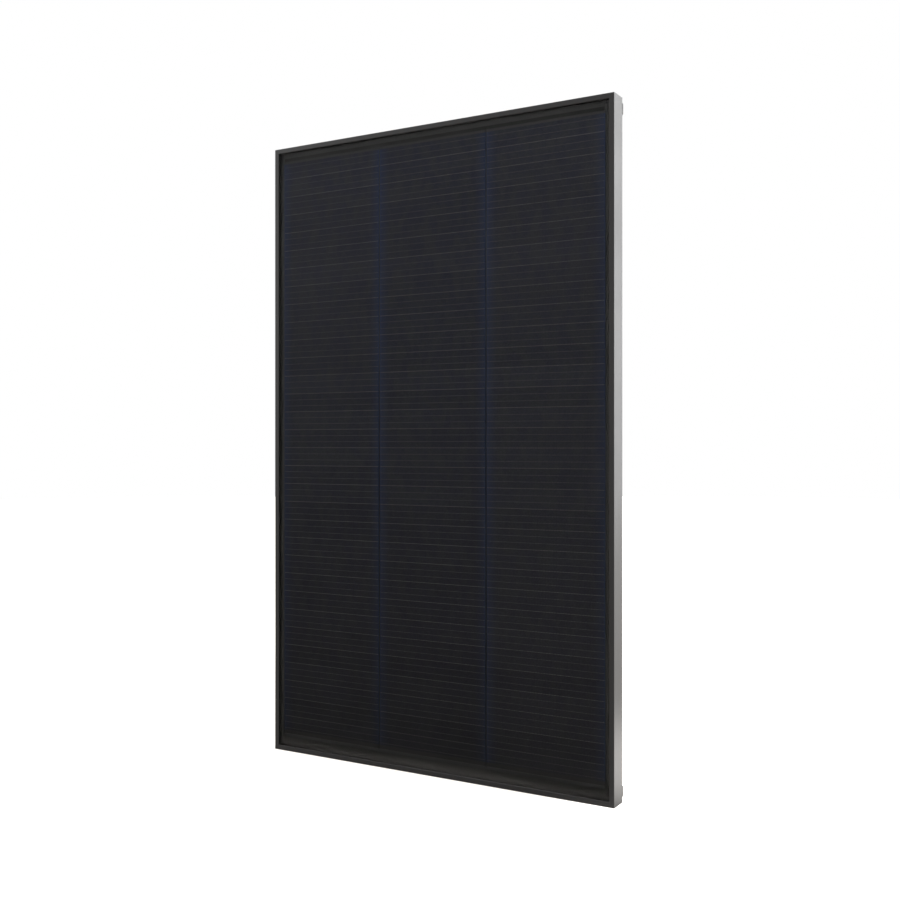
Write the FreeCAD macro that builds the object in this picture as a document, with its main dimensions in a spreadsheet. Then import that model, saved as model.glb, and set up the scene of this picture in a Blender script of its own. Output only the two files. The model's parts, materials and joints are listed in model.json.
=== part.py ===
import FreeCAD, Part
import os
import re

import Sketcher
from FreeCAD import Placement, Rotation, Vector

# A framed solar panel with shingled cells. +Z is up, +X is to the right seen from the glass side, and the
# glass faces -Y. The origin is the centre of the four mounting holes, on the rear face of the frame's flange.
# Depths are counted forwards from that face: a depth v lies at y = -v.

DIMENSIONS = [
    ("through_cut", 300, "a cut that passes right through a piece"),
    ("flange_cut", 2.8, "a hole through the rear flange alone"),
    ("panel_width", 580, "frame, outside, side to side"),
    ("panel_height", 960, "frame, outside, top to bottom"),
    ("frame_depth", 30, "frame, rear flange to front lip"),
    ("wall", 1.4, "outer wall, front lip and rear flange"),
    ("inner_wall", 1.2, "walls of the chamber"),
    ("lip_width", 7.5, "front lip, from the outer face inwards"),
    ("groove_height", 5.8, "groove that holds the laminate"),
    ("ledge_width", 10, "ledge under the laminate, from the outer face"),
    ("chamber_height", 9.4, "chamber for the corner keys"),
    ("flange_long", 22, "rear flange of the left and right members"),
    ("flange_short", 16, "rear flange of the top and bottom members"),
    ("mitre_margin", 5, "mitre cut past the flange's tip"),
    ("lip_radius", 0.8, "inner edge of the front lip"),
    ("front_radius", 0.6, "outer edge of the front lip"),
    ("edge_radius", 0.5, "outer rear edge and flange tip"),
    ("hole_radius", 3.5, "mounting hole"),
    ("hole_spacing_x", 556, "mounting and grounding holes, side to side"),
    ("hole_spacing_z", 480, "mounting holes, top to bottom"),
    ("ground_radius", 2.1, "grounding hole"),
    ("ground_spacing_z", 600, "grounding holes, top to bottom"),
    ("drain_radius", 2.0, "drain hole"),
    ("drain_offset", 200, "drain holes, from the middle of the member"),
    ("key_leg", 38, "corner key, length of a leg"),
    ("key_clearance", 0.15, "corner key in its chamber"),
    ("notch_depth", 1.0, "crimp notch in a corner key"),
    ("notch_width", 3, "crimp notch in a corner key"),
    ("notch_start", 20, "first crimp notch, from the corner"),
    ("notch_pitch", 8, "crimp notches"),
    ("laminate_inset", 2.4, "laminate's edge, from the frame's outer face"),
    ("front_seal", 0.3, "sealant between lip and glass"),
    ("bead_setback", 0.8, "sealant, inside the ledge's tip"),
    ("bead_lip_gap", 0.4, "sealant, inside the lip's tip"),
    ("glass_thickness", 3.2, "front glass"),
    ("glass_corner", 2, "corner radius of glass and sheets"),
    ("glass_arris", 0.3, "ground edge of the glass"),
    ("front_film", 0.45, "encapsulant in front of the cells"),
    ("cell_band", 0.45, "depth that the shingled cells take"),
    ("bed_clearance", 0.3, "beds in the encapsulant, round strips and busbars"),
    ("bed_overrun", 1, "bed of a busbar past the strings"),
    ("rear_film", 0.4, "encapsulant behind the cells"),
    ("backsheet_thickness", 0.35, "backsheet"),
    ("strip_width", 182, "cell strip, side to side"),
    ("strip_length", 30.34, "cell strip, top to bottom"),
    ("strip_thickness", 0.18, "cell strip"),
    ("strip_pitch", 28.54, "cell strips, top to bottom"),
    ("strip_count", 32, "cell strips in a string"),
    ("string_pitch", 184, "strings, side to side"),
    ("string_rise", 3.26, "middle of the strings above the middle of the panel"),
    ("bond_thickness", 0.05, "conductive adhesive between two strips"),
    ("bond_width", 1.2, "conductive adhesive, top to bottom"),
    ("bond_length", 180, "conductive adhesive, side to side"),
    ("ribbon_thickness", 0.2, "busbars and leads"),
    ("busbar_width", 5, "busbar, top to bottom"),
    ("busbar_lap", 1.5, "busbar over the end strip"),
    ("busbar_inset", 1, "end of a busbar, inside the outer strip's edge"),
    ("busbar_shift", 0.015, "face of a busbar at its strip, from the middle of the cell band"),
    ("lead_width", 6, "lead ribbon"),
    ("lead_offset", 14, "leads, from the panel's middle"),
    ("lead_pad", 2.8, "lead soldered to its busbar, top to bottom"),
    ("lead_fold", 7, "lead folded down on its terminal"),
    ("lead_end_gap", 0.1, "end of a lead, inside its busbar's edge"),
    ("lead_rear_gap", 0.06, "lead to the backsheet"),
    ("insulation_width", 14, "insulation strip behind the cells"),
    ("insulation_thickness", 0.1, "insulation strip behind the cells"),
    ("insulation_gap", 1, "insulation strip to the solder joint"),
    ("film_gap", 0.02, "between insulation, lead and cells"),
    ("channel_width", 15, "channel for a lead in the rear encapsulant"),
    ("channel_end", 2, "channel past the window of its lead"),
    ("window_width", 8, "window for a lead in backsheet and box"),
    ("window_height", 3, "window for a lead in backsheet and box"),
    ("box_rise", 372.5, "middle of the junction box above the middle of the panel"),
    ("box_width", 110, "junction box, side to side"),
    ("box_height", 84, "junction box, top to bottom"),
    ("box_depth", 15, "junction box, base without lid"),
    ("box_wall", 3, "junction box, walls"),
    ("box_floor", 2, "junction box, floor"),
    ("box_corner", 5, "junction box, corners"),
    ("box_seat", 1.0, "adhesive under the junction box"),
    ("seat_margin", 5, "adhesive's edge, inside the box's edge"),
    ("seat_window", 2, "window in the adhesive, wider and higher than the box's"),
    ("gasket_height", 0.6, "gasket between base and lid"),
    ("gasket_width", 1.4, "gasket between base and lid"),
    ("lid_thickness", 2.8, "lid plate"),
    ("lid_bevel", 0.6, "bevel round the lid's top"),
    ("lid_step", 0.7, "hinge arms and tongue, below the lid's top"),
    ("lid_root", 1, "hinge arms and lugs, inside the box's edge"),
    ("rib_depth", 2.4, "locating rib under the lid"),
    ("rib_thickness", 1.6, "locating rib under the lid"),
    ("rib_clearance", 0.6, "locating rib to the wall"),
    ("rib_setback", 5.4, "lower run of the rib, further in to clear the glands"),
    ("pivot_offset", 3.6, "hinge axis, outside the box's top wall"),
    ("barrel_radius", 3, "hinge knuckles"),
    ("pin_radius", 1.25, "hinge pin"),
    ("pin_length", 65, "hinge pin"),
    ("press_clearance", 0.01, "hinge pin in the base"),
    ("running_clearance", 0.06, "hinge pin in the lid"),
    ("lug_start", 26, "base knuckles, from the middle"),
    ("lug_width", 6, "base knuckles"),
    ("knuckle_start", 13, "lid knuckles, from the middle"),
    ("knuckle_width", 12.6, "lid knuckles"),
    ("lug_drop", 6, "foot of a base knuckle, below the rim"),
    ("arm_reach", 1.8, "outer corner of a base knuckle's arm, outside the axis"),
    ("arm_fall", 2.25, "outer corner of a base knuckle's arm, below the axis"),
    ("arm_setback", 1.5, "inner corner of a base knuckle's arm, inside the axis"),
    ("arm_dip", 1.8, "inner corner of a base knuckle's arm, below the axis"),
    ("tongue_width", 14, "closing tongue of the lid"),
    ("tongue_clearance", 0.4, "closing tongue to the base"),
    ("tongue_thickness", 1.6, "closing tongue of the lid"),
    ("tongue_reach", 6.6, "closing tongue, below the lid"),
    ("tongue_root", 2, "tongue, inside the lid's edge"),
    ("gland_offset", 28, "glands, from the middle"),
    ("gland_rise", 9, "gland axis above the box's floor face"),
    ("gland_flats", 12, "gland body and locknut across flats"),
    ("gland_flange", 4, "hexagon of the gland body"),
    ("gland_thread", 4.8, "thread radius of the gland body"),
    ("gland_reach", 9, "outer thread of the gland body"),
    ("gland_tail", 8, "inner thread of the gland body"),
    ("gland_bore", 2.7, "cable bore radius"),
    ("collar_bite", 0.5, "hexagon of the gland body, into its thread"),
    ("thread_clearance", 0.06, "nuts on the gland's thread"),
    ("seal_radius", 4.0, "outside of the gland's seal"),
    ("seal_clearance", 0.05, "gland's seal in its seat"),
    ("seal_length", 5.4, "gland's seal"),
    ("seal_seat", 5, "seat of the seal in the gland body"),
    ("nut_flats", 12.6, "gland nut across flats"),
    ("nut_gap", 0.4, "gland nut to the hexagon of the body"),
    ("nut_length", 10.8, "gland nut"),
    ("nut_cap", 1.4, "closed end of the gland nut"),
    ("nut_taper", 2, "bevel round the end of the gland nut"),
    ("locknut_length", 3.4, "locknut inside the box"),
    ("terminal_level", 6, "under side of the terminals above the box's seat"),
    ("terminal_thickness", 1.2, "terminal plate"),
    ("terminal_inner", 7, "terminal's inner end, from the middle"),
    ("terminal_outer", 44, "terminal's outer end, from the middle"),
    ("terminal_top", 30, "terminal's upper edge, from the box's middle"),
    ("terminal_low", 4, "terminal's lower edge, from the box's middle"),
    ("terminal_corner", 2, "terminal plate, corners"),
    ("boss_margin", 3, "boss edge, inside the terminal's edge"),
    ("crimp_screw_inset", 5, "crimp screw, inside the boss's edges"),
    ("crimp_radius", 3.0, "crimp barrel outside"),
    ("crimp_bore", 2.0, "crimp barrel bore"),
    ("crimp_length", 11, "crimp barrel"),
    ("crimp_lap", 1, "crimp barrel over the terminal plate"),
    ("screw_head", 3.5, "terminal screw head radius"),
    ("screw_head_height", 2.2, "terminal screw head"),
    ("screw_shank", 1.8, "terminal screw shank radius"),
    ("screw_depth", 4, "terminal screw shank below the terminal"),
    ("screw_tip_gap", 0.2, "screw tip to the pilot's floor"),
    ("lead_screw_gap", 1, "screw head to the folded lead's end"),
    ("screw_clearance", 0.05, "terminal screw in its holes"),
    ("slot_cut", 0.8, "driver slot in a screw head"),
    ("diode_radius", 3.2, "bypass diode body"),
    ("diode_length", 9, "bypass diode body"),
    ("diode_wire", 0.6, "bypass diode wire radius"),
    ("diode_span", 25, "bypass diode with its wires"),
    ("diode_rise", 9, "bypass diode above the box's middle"),
    ("vent_radius", 5, "vent cap radius"),
    ("vent_cap", 2.5, "vent cap height"),
    ("vent_stem", 2.5, "vent stem radius"),
    ("vent_reach", 0.5, "vent stem past the wall, inside the box"),
    ("vent_skirt", 1.5, "straight part of the vent cap"),
    ("vent_bevel", 1.2, "bevel of the vent cap"),
    ("vent_drop", 22, "vent, below the box's middle"),
    ("plate_width", 90, "rating plate"),
    ("plate_height", 55, "rating plate"),
    ("plate_thickness", 0.2, "rating plate"),
    ("plate_rise", 230, "rating plate above the middle of the panel"),
    ("pad_side", 19.4, "corner pad, square"),
    ("pad_thickness", 4.8, "corner pad"),
    ("pad_radius", 4, "corner pad, corners"),
    ("pad_edge", 1, "corner pad, rear edge"),
    ("pad_side_inset", 0.5, "corner pad to the frame's outer side"),
    ("pad_end_inset", 4.5, "corner pad to the frame's end"),
]
ALIASES = {alias for alias, size, meaning in DIMENSIONS}

# Depths in front of the flange's rear face, as expressions of the sheet.
LIP_UNDER = "(frame_depth - wall)"
LEDGE_TOP = "(frame_depth - wall - groove_height)"
CHAMBER_TOP = "(frame_depth - wall - groove_height - inner_wall)"
CHAMBER_FLOOR = "(frame_depth - wall - groove_height - inner_wall - chamber_height)"
GLASS_FRONT = "(frame_depth - wall - front_seal)"
GLASS_REAR = f"({GLASS_FRONT} - glass_thickness)"
BAND_FRONT = f"({GLASS_REAR} - front_film)"
BAND_REAR = f"({BAND_FRONT} - cell_band)"
BAND_MIDDLE = f"({BAND_FRONT} - cell_band / 2)"
FILM_REAR = f"({BAND_REAR} - rear_film)"
BACKSHEET_REAR = f"({FILM_REAR} - backsheet_thickness)"
BOX_SEAT = f"({BACKSHEET_REAR} - box_seat)"

# Heights above the panel's middle.
CELLS_HALF = "((strip_pitch * (strip_count - 1) + strip_length) / 2)"
CELLS_TOP = f"(string_rise + {CELLS_HALF})"
CELLS_BOTTOM = f"(string_rise - {CELLS_HALF})"
WINDOW_RISE = "(terminal_top + window_height)"
OUTLET = f"(box_rise + {WINDOW_RISE})"
BUSBAR_TOP = f"({CELLS_TOP} - busbar_lap + busbar_width)"
BUSBAR_LOW = f"({CELLS_BOTTOM} + busbar_lap - busbar_width)"

# Places in the junction box, whose own frame lies on its seat: z away from the laminate, y up, x to the left.
RIM = "box_depth"
LID_UNDER = "(box_depth + gasket_height)"
PIVOT_Y = "(box_height / 2 + pivot_offset)"
PIVOT_Z = "(box_depth + gasket_height + lid_thickness / 2)"
TERMINAL_TOP_FACE = "(terminal_level + terminal_thickness)"

# Lengths, and volumes, less than this apart count as equal.
TOLERANCE = 1e-3

# Sketcher's numbers for the points of a curve and for the axes of a sketch.
START = 1
END = 2
CENTRE = 3
SKETCH_X_AXIS = -1
SKETCH_Y_AXIS = -2

doc = FreeCAD.newDocument("solar_panel")
dims = doc.addObject("Spreadsheet::Sheet", "Dims")
for row, (alias, size, meaning) in enumerate(DIMENSIONS, start=1):
    dims.set(f"A{row}", meaning)
    dims.set(f"B{row}", str(size))
    dims.setAlias(f"B{row}", alias)
doc.recompute()

parts = []


# --- expressions, sketches and features -------------------------------------------------------------------

def bound(text):
    """The expression with each alias written as a reference to the sheet."""
    def reference(match):
        word = match.group(0)
        return f"Dims.{word}" if word in ALIASES else word
    return re.sub(r"[a-z_]+", reference, str(text))


def number(text):
    """What an expression comes to, in millimetres."""
    result = dims.evalExpression(bound(text))
    return float(getattr(result, "Value", result))


def bind(target, path, text):
    """Bind a property or a constraint of an object to the sheet."""
    target.setExpression(path, bound(text))


def new_body(label):
    body = doc.addObject("PartDesign::Body", label)
    body.Label = label
    parts.append(body)
    return body


def origin_item(body, role):
    return next(item for item in body.Origin.OriginFeatures if item.Role == role)


def new_sketch(body, plane, level="0"):
    """A sketch on one of the body's own planes, moved along its normal by level."""
    sketch = body.newObject("Sketcher::SketchObject", "Sketch")
    sketch.AttachmentSupport = (origin_item(body, plane), "")
    sketch.MapMode = "FlatFace"
    if number(level) != 0:
        bind(sketch, "AttachmentOffset.Base.z", level)
    return sketch


def hold(sketch, item, point, x, y):
    """Hold a point of the sketch at x, y, measured from the sketch's origin."""
    for kind, axis, text in (("DistanceX", SKETCH_Y_AXIS, x), ("DistanceY", SKETCH_X_AXIS, y)):
        size = number(text)
        if abs(size) < TOLERANCE:
            sketch.addConstraint(Sketcher.Constraint("PointOnObject", item, point, axis))
        else:
            index = sketch.addConstraint(Sketcher.Constraint(kind, -1, 1, item, point, size))
            bind(sketch, f"Constraints[{index}]", text)


def set_radius(sketch, item, radius):
    index = sketch.addConstraint(Sketcher.Constraint("Radius", item, number(radius)))
    bind(sketch, f"Constraints[{index}]", radius)


def add_outline(sketch, corners):
    """A closed outline of straight lines through the corners."""
    points = [Vector(number(x), number(y), 0) for x, y in corners]
    first = sketch.GeometryCount
    for i, point in enumerate(points):
        sketch.addGeometry(Part.LineSegment(points[i - 1], point), False)
    for i, (x, y) in enumerate(corners):
        following = first + (i + 1) % len(corners)
        sketch.addConstraint(Sketcher.Constraint("Coincident", first + i, END, following, START))
        hold(sketch, first + i, END, x, y)


def add_rectangle(sketch, left, right, low, high):
    add_outline(sketch, [(left, low), (right, low), (right, high), (left, high)])


def add_circle(sketch, x, y, radius):
    centre = Vector(number(x), number(y), 0)
    circle = sketch.addGeometry(Part.Circle(centre, Vector(0, 0, 1), number(radius)), False)
    hold(sketch, circle, CENTRE, x, y)
    set_radius(sketch, circle, radius)


def add_hexagon(sketch, flats):
    """A hexagon about the sketch's origin with two flats level."""
    half = f"{flats} / 2"
    corner = f"{flats} / sqrt(3)"
    add_outline(sketch, [(corner, "0"), (f"{corner} / 2", half), (f"-{corner} / 2", half),
                         (f"-{corner}", "0"), (f"-{corner} / 2", f"-{half}"), (f"{corner} / 2", f"-{half}")])


def add_pad(body, sketch, length, symmetric=False, backwards=False):
    pad = body.newObject("PartDesign::Pad", "Pad")
    pad.Profile = sketch
    bind(pad, "Length", length)
    if symmetric:
        pad.SideType = "Symmetric"
    pad.Reversed = backwards
    sketch.Visibility = False
    doc.recompute()
    return pad


def add_pocket(body, sketch, depth, symmetric=False, backwards=False):
    """Cut a sketch into the body, and stop if it took nothing away."""
    before = body.Shape.Volume
    pocket = body.newObject("PartDesign::Pocket", "Pocket")
    pocket.Profile = sketch
    bind(pocket, "Length", depth)
    if symmetric:
        pocket.SideType = "Symmetric"
    pocket.Reversed = backwards
    sketch.Visibility = False
    doc.recompute()
    if body.Shape.Volume > before - TOLERANCE:
        raise ValueError(f"a pocket of {body.Label} cuts nothing")
    return pocket


def add_revolution(body, sketch):
    revolution = body.newObject("PartDesign::Revolution", "Revolution")
    revolution.Profile = sketch
    revolution.ReferenceAxis = (sketch, ["V_Axis"])
    revolution.Angle = 360
    doc.recompute()


def repeat(body, feature, axis, spacing, count):
    """A row of the feature along one of the body's axes."""
    pattern = body.newObject("PartDesign::LinearPattern", "Pattern")
    pattern.Originals = [feature]
    pattern.Direction = (origin_item(body, axis), [""])
    pattern.Mode = "Spacing"
    bind(pattern, "Offset", spacing)
    bind(pattern, "Occurrences", count)
    body.Tip = pattern
    doc.recompute()


def mirror(body, features, plane):
    """The features once more on the other side of one of the body's own planes."""
    mirrored = body.newObject("PartDesign::Mirrored", "Mirrored")
    mirrored.Originals = features
    mirrored.MirrorPlane = (origin_item(body, plane), [""])
    body.Tip = mirrored
    doc.recompute()


def round_edges(body, radius, chosen):
    """Round the edges of the body's solid that the test picks."""
    base = body.Tip
    names = [f"Edge{i}" for i, edge in enumerate(base.Shape.Edges, start=1) if chosen(edge)]
    rounding = body.newObject("PartDesign::Fillet", "Fillet")
    rounding.Base = (base, names)
    bind(rounding, "Radius", radius)
    doc.recompute()


def bevel_edges(body, size, chosen):
    """Bevel the edges of the body's solid that the test picks."""
    base = body.Tip
    names = [f"Edge{i}" for i, edge in enumerate(base.Shape.Edges, start=1) if chosen(edge)]
    bevel = body.newObject("PartDesign::Chamfer", "Chamfer")
    bevel.Base = (base, names)
    bind(bevel, "Size", size)
    doc.recompute()


def along(edge, axis):
    """Whether the edge is a straight one along the given axis."""
    if len(edge.Vertexes) != 2:
        return False
    run = edge.Vertexes[1].Point - edge.Vertexes[0].Point
    return abs(run.Length - edge.Length) < TOLERANCE and abs(abs(run * axis) - run.Length) < TOLERANCE


def passes(edge, x=None, y=None, z=None):
    """Whether every end of the edge lies at the given coordinates."""
    for vertex in edge.Vertexes:
        for place, wanted in ((vertex.X, x), (vertex.Y, y), (vertex.Z, z)):
            if wanted is not None and abs(place - wanted) > TOLERANCE:
                return False
    return True


def place(item, x, y, z, rotation=None):
    """Turn a sub-part and move its origin to x, y, z."""
    item.Placement = Placement(Vector(number(x), number(y), number(z)), rotation or Rotation())
    for axis, text in zip("xyz", (x, y, z)):
        bind(item, f"Placement.Base.{axis}", text)


def new_box(label, corner, size):
    """A plain box from its low corner, with its sizes along x, y and z."""
    box = doc.addObject("Part::Box", label)
    box.Label = label
    for side, text in zip(("Length", "Width", "Height"), size):
        bind(box, side, text)
    place(box, *corner)
    parts.append(box)


X_WAY = Vector(1, 0, 0)
Y_WAY = Vector(0, 1, 0)
Z_WAY = Vector(0, 0, 1)

# The frame members and their sealant run along their own z, with x inwards and y forwards.
MEMBERS = {
    "left": ("-panel_width / 2", "panel_height / 2", "panel_height", "flange_long",
             Rotation(X_WAY, -Y_WAY, -Z_WAY)),
    "right": ("panel_width / 2", "-panel_height / 2", "panel_height", "flange_long",
              Rotation(-X_WAY, -Y_WAY, Z_WAY)),
    "top": ("panel_width / 2", "panel_height / 2", "panel_width", "flange_short",
            Rotation(-Z_WAY, -Y_WAY, -X_WAY)),
    "bottom": ("-panel_width / 2", "-panel_height / 2", "panel_width", "flange_short",
               Rotation(Z_WAY, -Y_WAY, X_WAY)),
}


# --- frame --------------------------------------------------------------------------------------------------

def cut_mitres(body, length):
    """Cut both ends of a member at 45 degrees through its outer corners."""
    reach = "(flange_long + mitre_margin)"
    ends = new_sketch(body, "XZ_Plane")
    add_outline(ends, [("0", "0"), (reach, "0"), (reach, reach)])
    add_outline(ends, [("0", length), (reach, length), (reach, f"{length} - {reach}")])
    add_pocket(body, ends, "through_cut", symmetric=True)


def frame_member(name, x, z, length, flange, rotation):
    """A hollow extrusion: outer wall, front lip, laminate groove, key chamber and rear flange."""
    body = new_body(f"frame_{name}")
    section = new_sketch(body, "XY_Plane")
    add_outline(section, [
        ("0", "0"), (flange, "0"), (flange, "wall"), ("wall", "wall"),
        ("wall", f"{CHAMBER_FLOOR} - inner_wall"), ("ledge_width", f"{CHAMBER_FLOOR} - inner_wall"),
        ("ledge_width", LEDGE_TOP), ("wall", LEDGE_TOP), ("wall", LIP_UNDER),
        ("lip_width", LIP_UNDER), ("lip_width", "frame_depth"), ("0", "frame_depth")])
    add_rectangle(section, "wall", "ledge_width - inner_wall", CHAMBER_FLOOR, CHAMBER_TOP)
    add_pad(body, section, length)

    depth = number("frame_depth")
    lip = number("lip_width")
    tip = number(flange)
    round_edges(body, "lip_radius", lambda edge: along(edge, Z_WAY) and passes(edge, x=lip, y=depth))
    round_edges(body, "front_radius", lambda edge: along(edge, Z_WAY) and passes(edge, x=0, y=depth))
    round_edges(body, "edge_radius", lambda edge: along(edge, Z_WAY)
                and (passes(edge, x=0, y=0) or passes(edge, x=tip)))
    cut_mitres(body, length)

    if name in ("left", "right"):
        add_mounting_holes(body)
    else:
        add_drain_holes(body)
    place(body, x, "0", z, rotation)


def add_mounting_holes(body):
    """Two mounting holes and two grounding holes in the rear flange of a long member."""
    line = "(panel_width - hole_spacing_x) / 2"
    for radius, spacing in (("hole_radius", "hole_spacing_z"), ("ground_radius", "ground_spacing_z")):
        sketch = new_sketch(body, "XZ_Plane")
        add_circle(sketch, line, f"(panel_height - {spacing}) / 2", radius)
        hole = add_pocket(body, sketch, "flange_cut", symmetric=True)
        repeat(body, hole, "Z_Axis", spacing, "2")


def add_drain_holes(body):
    """Two drain holes in the rear flange of a short member."""
    holes = new_sketch(body, "XZ_Plane")
    for side in ("-", "+"):
        add_circle(holes, "flange_short / 2", f"panel_width / 2 {side} drain_offset", "drain_radius")
    add_pocket(body, holes, "flange_cut", symmetric=True)


def groove_sealant(name, x, z, length, rotation):
    """The silicone round the laminate's edge, in the groove of one member."""
    body = new_body(f"sealant_{name}")
    section = new_sketch(body, "XY_Plane")
    add_outline(section, [
        ("wall", LEDGE_TOP),
        ("ledge_width - bead_setback", LEDGE_TOP), ("ledge_width - bead_setback", BACKSHEET_REAR),
        ("laminate_inset", BACKSHEET_REAR), ("laminate_inset", GLASS_FRONT),
        ("lip_width - bead_lip_gap", GLASS_FRONT), ("lip_width - bead_lip_gap", LIP_UNDER),
        ("wall", LIP_UNDER)])
    add_pad(body, section, length)
    cut_mitres(body, length)
    place(body, x, "0", z, rotation)


def corner_key(name, x, z, turn):
    """An angle that fills the chambers of two members at a corner, with notches for the crimps."""
    body = new_body(f"corner_key_{name}")
    low = "(wall + key_clearance)"
    high = "(ledge_width - inner_wall - key_clearance)"
    outline = new_sketch(body, "XZ_Plane", f"{CHAMBER_FLOOR} + key_clearance")
    add_outline(outline, [(low, low), ("key_leg", low), ("key_leg", high), (high, high),
                          (high, "key_leg"), (low, "key_leg")])
    add_pad(body, outline, "chamber_height - 2 * key_clearance")
    across = new_sketch(body, "XZ_Plane")
    add_rectangle(across, "notch_start", "notch_start + notch_width", low, f"{low} + notch_depth")
    first = add_pocket(body, across, "through_cut", symmetric=True)
    repeat(body, first, "X_Axis", "notch_pitch", "2")
    up = new_sketch(body, "XZ_Plane")
    add_rectangle(up, low, f"{low} + notch_depth", "notch_start", "notch_start + notch_width")
    second = add_pocket(body, up, "through_cut", symmetric=True)
    repeat(body, second, "Z_Axis", "notch_pitch", "2")
    place(body, x, "0", z, Rotation(Y_WAY, turn))


def corner_pad(name, side, end):
    """A soft pad on the flange at one corner, which keeps stacked panels apart."""
    body = new_body(f"corner_pad_{name}")
    outline = new_sketch(body, "XZ_Plane")
    half = "pad_side / 2"
    add_rectangle(outline, f"-{half}", half, f"-{half}", half)
    add_pad(body, outline, "pad_thickness", backwards=True)
    rear = number("pad_thickness")
    round_edges(body, "pad_radius", lambda edge: along(edge, Y_WAY))
    round_edges(body, "pad_edge", lambda edge: passes(edge, y=rear))
    place(body, f"{side} * (panel_width / 2 - pad_side_inset - {half})", "0",
          f"{end} * (panel_height / 2 - pad_end_inset - {half})")


# --- laminate -----------------------------------------------------------------------------------------------

def laminate_sheet(label, rear, thickness):
    """A sheet as large as the laminate, whose rear face lies at the given depth."""
    body = new_body(label)
    outline = new_sketch(body, "XZ_Plane")
    half_width = "(panel_width / 2 - laminate_inset)"
    half_height = "(panel_height / 2 - laminate_inset)"
    add_rectangle(outline, f"-{half_width}", half_width, f"-{half_height}", half_height)
    add_pad(body, outline, thickness)
    round_edges(body, "glass_corner", lambda edge: along(edge, Y_WAY))
    place(body, "0", f"-{rear}", "0")
    return body


def front_glass():
    body = laminate_sheet("front_glass", GLASS_REAR, "glass_thickness")
    front = -number("glass_thickness")
    bevel_edges(body, "glass_arris", lambda edge: passes(edge, y=front) or passes(edge, y=0))


def encapsulant_rear():
    """The film behind the cells, with the beds of the strings, the busbars and the leads."""
    body = laminate_sheet("encapsulant_rear", FILM_REAR, "(cell_band + rear_film)")
    half = "(strip_width / 2 + bed_clearance)"
    beds = new_sketch(body, "XZ_Plane", "cell_band + rear_film")
    for column in ("-string_pitch", "0", "string_pitch"):
        add_rectangle(beds, f"{column} - {half}", f"{column} + {half}",
                      f"{CELLS_BOTTOM} - bed_clearance", f"{CELLS_TOP} + bed_clearance")
    add_pocket(body, beds, "cell_band")
    span = "(1.5 * string_pitch + bed_overrun)"
    runs = new_sketch(body, "XZ_Plane", "cell_band + rear_film")
    add_rectangle(runs, f"-{span}", span,
                  f"{BUSBAR_TOP} - busbar_width", f"{BUSBAR_TOP} + bed_clearance")
    add_rectangle(runs, f"-{span}", span,
                  f"{BUSBAR_LOW} - bed_clearance", f"{BUSBAR_LOW} + busbar_width")
    add_pocket(body, runs, "cell_band")
    wide = "channel_width / 2"
    channels = new_sketch(body, "XZ_Plane", "cell_band + rear_film")
    add_rectangle(channels, f"-lead_offset - {wide}", f"-lead_offset + {wide}",
                  f"{OUTLET} - channel_end", f"{BUSBAR_TOP} + bed_clearance")
    add_rectangle(channels, f"lead_offset - {wide}", f"lead_offset + {wide}",
                  f"{BUSBAR_LOW} - bed_clearance", f"{OUTLET} + channel_end")
    add_pocket(body, channels, "through_cut")


def backsheet():
    body = laminate_sheet("backsheet", BACKSHEET_REAR, "backsheet_thickness")
    windows = new_sketch(body, "XZ_Plane")
    add_lead_windows(windows, OUTLET, "window_width", "window_height")
    add_pocket(body, windows, "through_cut", symmetric=True)


def add_lead_windows(sketch, rise, width, height):
    """A window for each of the two leads, both at one height."""
    for side in ("-", ""):
        centre = f"{side}lead_offset"
        add_rectangle(sketch, f"{centre} - {width} / 2", f"{centre} + {width} / 2",
                      f"{rise} - {height} / 2", f"{rise} + {height} / 2")


def tilted_row(label, column, length, width, thickness, first, count):
    """A row of flat pieces up the panel, each tilted so that its lower end lies in front of the next one."""
    body = new_body(label)
    body.AllowCompound = True
    face = new_sketch(body, "XZ_Plane")
    face.AttachmentOffset = Placement(Vector(), Rotation(-X_WAY, 1))
    bind(face, "AttachmentOffset.Rotation.Angle",
         "asin((strip_thickness + bond_thickness) / strip_pitch)")
    add_rectangle(face, f"-{width} / 2", f"{width} / 2", f"-{length} / 2", f"{length} / 2")
    piece = add_pad(body, face, thickness, symmetric=True)
    repeat(body, piece, "Z_Axis", "strip_pitch", count)
    place(body, column, f"-{BAND_MIDDLE}", first)


def cell_string(name, column):
    """One column of shingled strips and the adhesive lines that join them in series."""
    first = f"({CELLS_BOTTOM} + strip_length / 2)"
    tilted_row(f"cell_string_{name}", column, "strip_length", "strip_width", "strip_thickness",
               first, "strip_count")
    tilted_row(f"shingle_bonds_{name}", column, "bond_width", "bond_length", "bond_thickness",
               f"{first} + strip_pitch / 2", "strip_count - 1")


def busbars():
    """A ribbon on the front edge of the top strips and one behind the bottom strips."""
    span = "(2 * string_pitch + strip_width - 2 * busbar_inset)"
    size = (span, "ribbon_thickness", "busbar_width")
    new_box("busbar_top", (f"-{span} / 2", f"-{BAND_MIDDLE} + busbar_shift - ribbon_thickness",
                           f"{BUSBAR_TOP} - busbar_width"), size)
    new_box("busbar_bottom", (f"-{span} / 2", f"-{BAND_MIDDLE} - busbar_shift", BUSBAR_LOW), size)


def lead(label, column, corners):
    """A flat ribbon from a busbar to its terminal; the corners give its y and z."""
    body = new_body(label)
    side = new_sketch(body, "YZ_Plane")
    add_outline(side, corners)
    add_pad(body, side, "lead_width", symmetric=True)
    place(body, column, "0", "0")


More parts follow.
